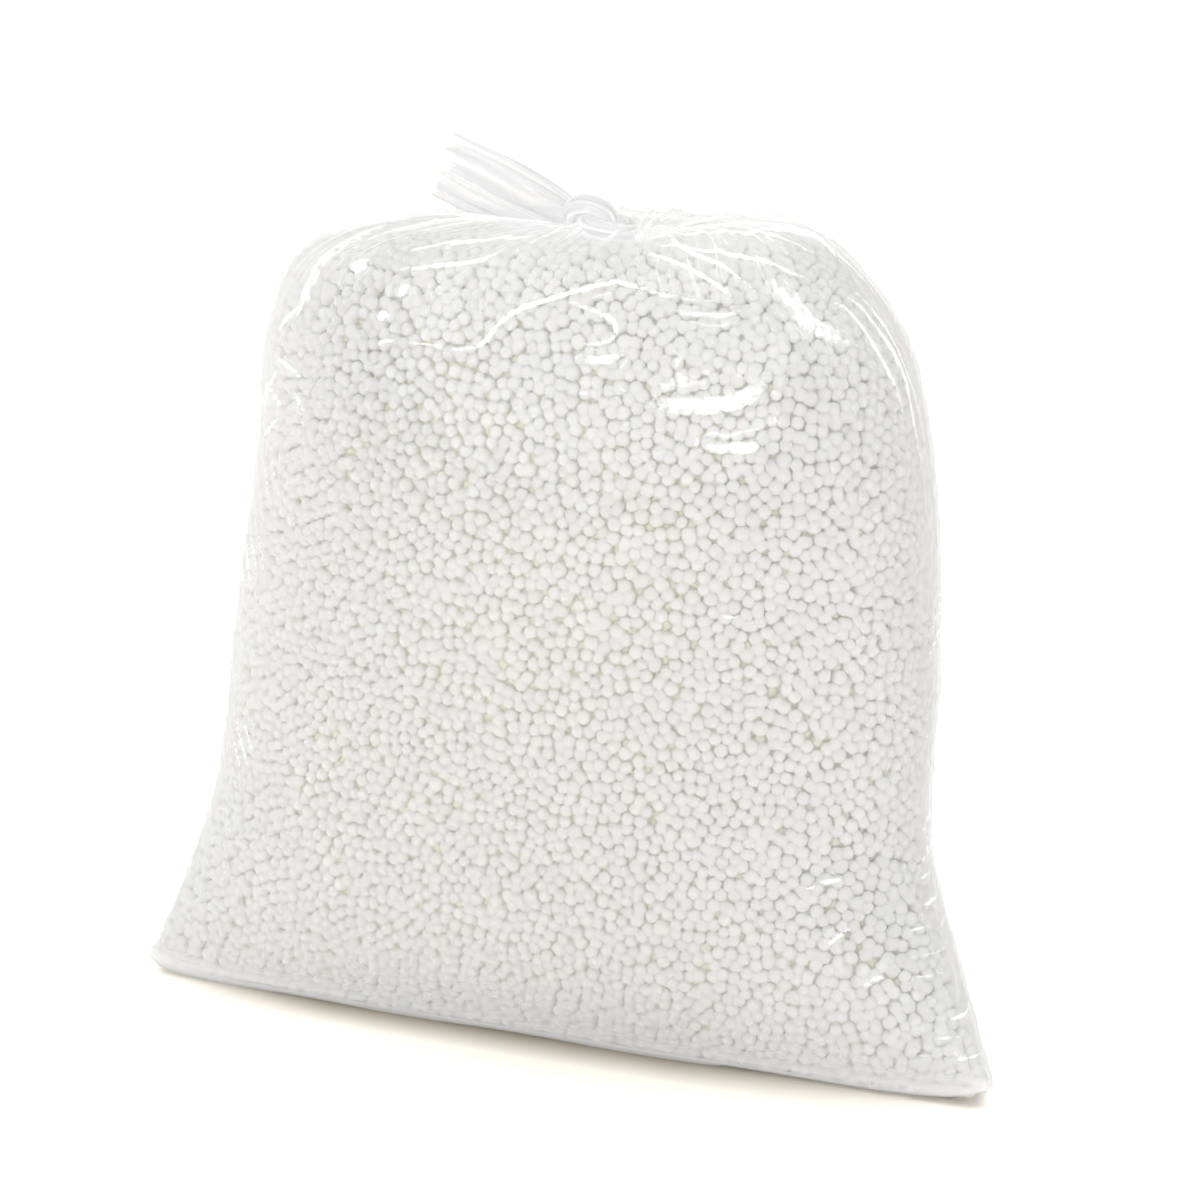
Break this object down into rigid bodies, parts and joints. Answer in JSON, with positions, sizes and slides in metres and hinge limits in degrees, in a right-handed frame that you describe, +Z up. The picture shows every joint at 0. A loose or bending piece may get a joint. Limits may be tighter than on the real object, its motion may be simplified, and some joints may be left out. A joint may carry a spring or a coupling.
{
  "type": "bag of polystyrene beads",
  "caption": "Clear film bag full of loose white expanded polystyrene beads, standing on its base, with eared bottom weld, gathered top, knotted neck and fanned tail.",
  "frame": {"origin": "floor level, under the middle of the bag's box", "axes": "+Z up; front, with the bottom weld, towards -Y; +X to the right seen from the front"},
  "size_m": [0.384, 0.165, 0.3807],
  "materials": {
    "film": "clear glossy film",
    "beads": "matte white foam"
  },
  "bodies": {
    "root": {"bag_film": "film", "bead_fill": "beads"}
  },
  "joints": []
}
